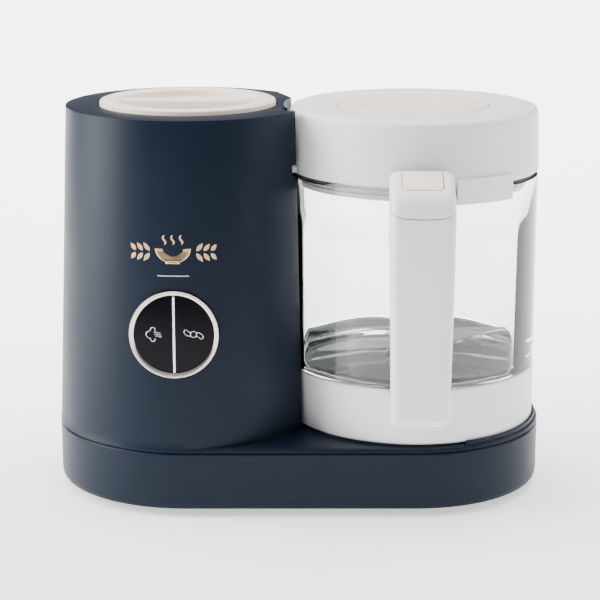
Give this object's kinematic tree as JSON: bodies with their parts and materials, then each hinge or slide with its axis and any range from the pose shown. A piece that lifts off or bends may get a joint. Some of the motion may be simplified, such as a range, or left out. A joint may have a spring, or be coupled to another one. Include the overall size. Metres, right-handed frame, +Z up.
{
  "type": "baby food maker",
  "caption": "Countertop steam cooker and blender: a round steam tower with a twist filler cap beside a lift-off glass jar with lid, handle and blade on one base.",
  "frame": {"origin": "centre of the plan's bounding box, on the plane of the rubber feet", "axes": "+X from the tower to the jar, -Y the front with the controls and the handle, +Z up"},
  "size_m": [0.28, 0.1884, 0.2237],
  "materials": {
    "navy_plastic": "satin, lightly grained",
    "navy_tub": "satin",
    "foot_rubber": "matt",
    "screw_steel": "plated",
    "gland_rubber": "matt",
    "neck_plastic": "matt",
    "tank_steel": "satin stainless",
    "heater_aluminium": "cast",
    "thermostat_black": "moulded",
    "cradle_plastic": "moulded",
    "pipe_silicone": "translucent silicone",
    "seal_silicone": "silicone",
    "cap_cream": "satin",
    "rose_metal": "polished rose gold plating",
    "button_black": "gloss",
    "divider_metal": "polished",
    "guide_plastic": "moulded",
    "switch_black": "moulded",
    "board_green": "solder mask",
    "motor_steel": "plated can",
    "bracket_steel": "zinc plated",
    "pulley_steel": "turned",
    "pulley_plastic": "moulded",
    "belt_rubber": "moulded",
    "bush_bronze": "sintered bronze",
    "dog_plastic": "moulded",
    "clear_glass": "thick clear glass",
    "collar_white": "satin",
    "hub_black": "moulded",
    "nut_white": "moulded",
    "spindle_steel": "ground",
    "blade_steel": "polished edges",
    "blade_nut_steel": "polished",
    "handle_white": "satin",
    "pad_cream": "satin",
    "spring_steel": "bright wire",
    "lid_white": "satin",
    "disc_cream": "satin"
  },
  "bodies": {
    "base": {"housing": "navy_plastic", "base_tub": "navy_tub", "foot_1": "foot_rubber", "foot_2": "foot_rubber", "foot_3": "foot_rubber", "foot_4": "foot_rubber", "base_screw_1": "screw_steel", "base_screw_2": "screw_steel", "base_screw_3": "screw_steel", "base_screw_4": "screw_steel", "cable_gland": "gland_rubber", "filler_neck": "neck_plastic", "boiler_tank": "tank_steel", "heating_ring": "heater_aluminium", "thermostat": "thermostat_black", "tank_cradle": "cradle_plastic", "steam_pipe": "pipe_silicone", "steam_outlet_seal": "seal_silicone", "control_ring": "rose_metal", "button_divider": "divider_metal", "button_guide": "guide_plastic", "steam_switch": "switch_black", "blend_switch": "switch_black", "control_board": "board_green", "motor": "motor_steel", "motor_bracket": "bracket_steel", "drive_belt": "belt_rubber", "shaft_bush": "bush_bronze", "interlock_switch": "switch_black"},
    "tank_cap_seal": {"filler_cap_seal": "seal_silicone"},
    "tank_cap": {"filler_cap": "cap_cream"},
    "steam_key": {"steam_button": "button_black"},
    "blend_key": {"blend_button": "button_black"},
    "motor_rotor": {"motor_pulley": "pulley_steel"},
    "driven_wheel": {"driven_pulley": "pulley_plastic", "drive_dog": "dog_plastic"},
    "jar": {"jar_glass": "clear_glass", "jar_collar": "collar_white", "blade_hub": "hub_black", "hub_seal": "seal_silicone", "hub_nut": "nut_white", "handle_head": "handle_white", "handle_grip": "handle_white", "release_spring": "spring_steel"},
    "blade_group": {"blade_spindle": "spindle_steel", "blade": "blade_steel", "blade_nut": "blade_nut_steel"},
    "release": {"release_pad": "pad_cream"},
    "lid_seal": {"lid_gasket": "seal_silicone"},
    "lid": {"lid_shell": "lid_white"},
    "lid_plug": {"lid_disc": "disc_cream"}
  },
  "joints": [
    {"name": "tank_cap_lift", "type": "slide", "parent": "base", "child": "tank_cap_seal", "axis": [0, 0, 1], "range_m": [0, 0.05]},
    {"name": "tank_cap_turn", "type": "hinge", "parent": "tank_cap_seal", "child": "tank_cap", "pos_m": [-0.063, 0.01533, 0.215], "axis": [0, 0, 1], "range_deg": [-60, 0]},
    {"name": "steam_press", "type": "slide", "parent": "base", "child": "steam_key", "axis": [0, 1, 0], "range_m": [0, 0.0012], "stiffness_N_per_m": 300, "springref_m": -0.0008},
    {"name": "blend_press", "type": "slide", "parent": "base", "child": "blend_key", "axis": [0, 1, 0], "range_m": [0, 0.0012], "stiffness_N_per_m": 300, "springref_m": -0.0008},
    {"name": "motor_spin", "type": "hinge", "parent": "base", "child": "motor_rotor", "pos_m": [-0.063, 0.02533, 0.02], "axis": [0, 0, 1], "continuous": true},
    {"name": "driven_spin", "type": "hinge", "parent": "base", "child": "driven_wheel", "pos_m": [0.0653, 0.01533, 0.02], "axis": [0, 0, 1], "continuous": true},
    {"name": "jar_lift", "type": "slide", "parent": "base", "child": "jar", "axis": [0, 0, 1], "range_m": [0, 0.2]},
    {"name": "blade_spin", "type": "hinge", "parent": "jar", "child": "blade_group", "pos_m": [0.0653, 0.01533, 0.087], "axis": [0, 0, 1], "continuous": true},
    {"name": "release_press", "type": "slide", "parent": "jar", "child": "release", "axis": [0, 0, -1], "range_m": [0, 0.0025], "stiffness_N_per_m": 400, "springref_m": -0.001, "deforming": ["release_spring"]},
    {"name": "lid_lift", "type": "slide", "parent": "jar", "child": "lid_seal", "axis": [0, 0, 1], "range_m": [0, 0.08]},
    {"name": "lid_turn", "type": "hinge", "parent": "lid_seal", "child": "lid", "pos_m": [0.0653, 0.01533, 0.2], "axis": [0, 0, 1], "range_deg": [0, 30]},
    {"name": "lid_plug_lift", "type": "slide", "parent": "lid", "child": "lid_plug", "axis": [0, 0, 1], "range_m": [0, 0.05]}
  ],
  "couplings": [
    {"joint": "driven_spin", "follows": "motor_spin", "ratio": 0.41667},
    {"joint": "blade_spin", "follows": "motor_spin", "ratio": 0.41667}
  ]
}
